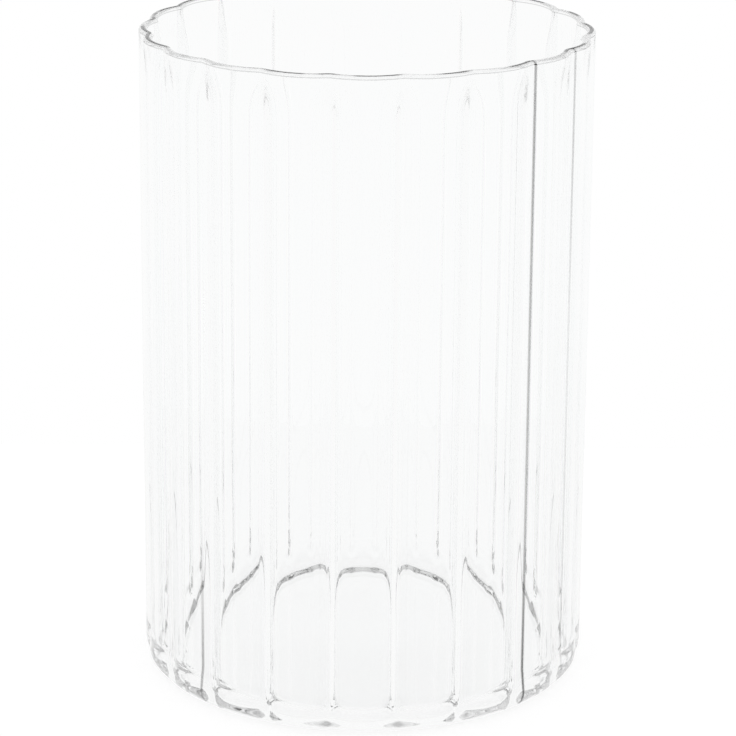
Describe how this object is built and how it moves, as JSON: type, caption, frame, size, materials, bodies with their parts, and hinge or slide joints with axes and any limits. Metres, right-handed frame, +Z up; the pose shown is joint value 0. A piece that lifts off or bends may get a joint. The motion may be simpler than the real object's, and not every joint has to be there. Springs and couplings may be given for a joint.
{
  "type": "fluted tea glass",
  "caption": "Clear straight-sided chai glass with a thin fluted wall, a rib inside behind every groove, a round fire-polished rim, a rounded heel in which the ribs melt away, and a thin flat floor.",
  "frame": {"origin": "centre of the ring that the glass stands on, on the table", "axes": "+Z up along the glass's own axis, out of its mouth; a flute's crest faces +X and another faces -Y"},
  "size_m": [0.062, 0.062, 0.091],
  "materials": {
    "glass": "clear and fire-polished"
  },
  "bodies": {
    "root": {"rim": "glass", "fluted_wall": "glass", "heel": "glass", "floor": "glass"}
  },
  "joints": []
}
